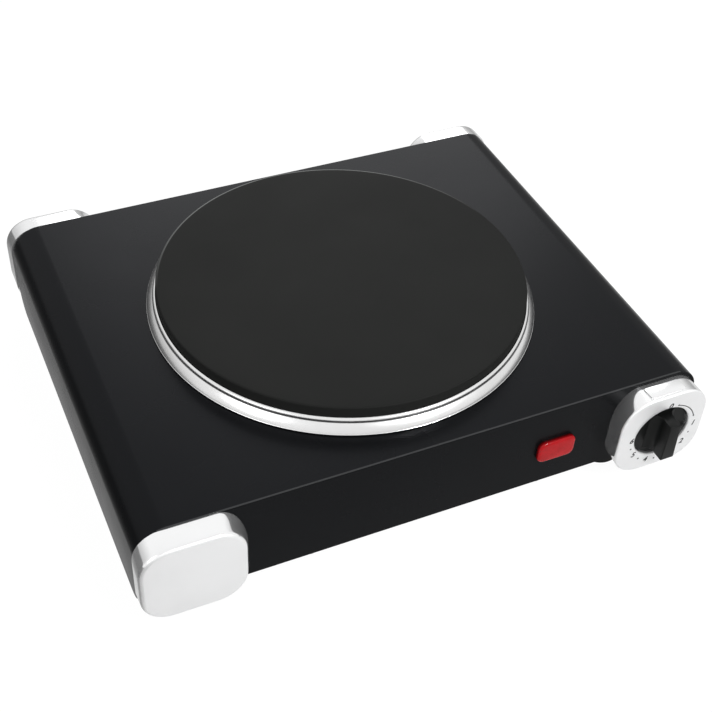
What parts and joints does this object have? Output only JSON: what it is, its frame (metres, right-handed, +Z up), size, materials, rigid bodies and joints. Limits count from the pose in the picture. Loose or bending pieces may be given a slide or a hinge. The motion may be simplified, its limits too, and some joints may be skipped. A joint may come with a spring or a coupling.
{
  "type": "hot plate burner",
  "caption": "Free-standing electric hot plate: cast-iron plate on a low black sheet-steel case, chrome corner caps, rotary heat knob.",
  "frame": {"origin": "on the ground, under the middle of the whole object's box", "axes": "+Z up, +X to the right as seen from the controls, the controls face -Y"},
  "size_m": [0.288, 0.2528, 0.0715],
  "materials": {
    "case_enamel": "satin black baked enamel on sheet steel",
    "plain_steel": "zinc-plated sheet steel",
    "cast_iron": "matt black heat-proof coating on cast iron",
    "ring_steel": "bright turned stainless steel",
    "cap_chrome": "satin to bright chrome plating",
    "knob_plastic": "black phenolic, fine grain",
    "black_plastic": "black nylon",
    "foot_rubber": "black moulded rubber",
    "screw_steel": "zinc-plated screws",
    "ceramic": "unglazed steatite and magnesia",
    "heating_wire": "oxidised resistance wire",
    "shield_aluminium": "bright rolled aluminium",
    "phenolic": "brown phenolic moulding",
    "brass": "brass",
    "lens_red": "translucent red lens",
    "bulb_glass": "clear glass envelope",
    "lead_brown": "brown heat-proof sleeve",
    "lead_blue": "blue heat-proof sleeve",
    "lead_red": "red heat-proof sleeve",
    "lead_white": "white heat-proof sleeve",
    "lead_green": "green and yellow sleeve"
  },
  "bodies": {
    "stove": {"top_cover": "case_enamel", "front_panel": "case_enamel", "rear_panel": "case_enamel", "bottom_plate": "plain_steel", "base_screws": "screw_steel", "foot_front_left": "foot_rubber", "foot_front_right": "foot_rubber", "foot_rear_left": "foot_rubber", "foot_rear_right": "foot_rubber", "cap_front_left": "cap_chrome", "cap_rear_left": "cap_chrome", "cap_rear_right": "cap_chrome", "cap_screws": "screw_steel", "hot_plate": "cast_iron", "heating_coils": "heating_wire", "coil_filler": "ceramic", "plate_cover": "plain_steel", "pin_insulators": "ceramic", "heater_pins": "heating_wire", "spill_ring": "ring_steel", "centre_stud": "screw_steel", "mounting_bridge": "plain_steel", "stud_washer": "screw_steel", "stud_nut": "screw_steel", "thermal_cutout": "black_plastic", "cutout_strap": "plain_steel", "heat_shield": "shield_aluminium", "shield_screws": "screw_steel", "knob_housing": "cap_chrome", "regulator_plate": "plain_steel", "regulator_case": "phenolic", "regulator_cover": "phenolic", "contact_leaves": "brass", "regulator_terminals": "brass", "regulator_screws": "screw_steel", "lamp_lens": "lens_red", "lamp_holder": "black_plastic", "lamp_base": "ceramic", "neon_bulb": "bulb_glass", "cord_gland": "black_plastic", "gland_nut": "black_plastic", "terminal_block": "ceramic", "terminal_screws": "brass", "block_screws": "screw_steel", "live_lead": "lead_brown", "neutral_lead": "lead_blue", "heater_lead": "lead_red", "lamp_leads": "lead_white", "earth_lead": "lead_green", "earth_screw": "brass"},
    "control": {"knob": "knob_plastic", "regulator_shaft": "screw_steel", "regulator_cam": "phenolic"}
  },
  "joints": [
    {"name": "knob_turn", "type": "hinge", "parent": "stove", "child": "control", "pos_m": [0.1182, -0.11585, 0.0326], "axis": [0, 1, 0], "range_deg": [0, 270]}
  ]
}
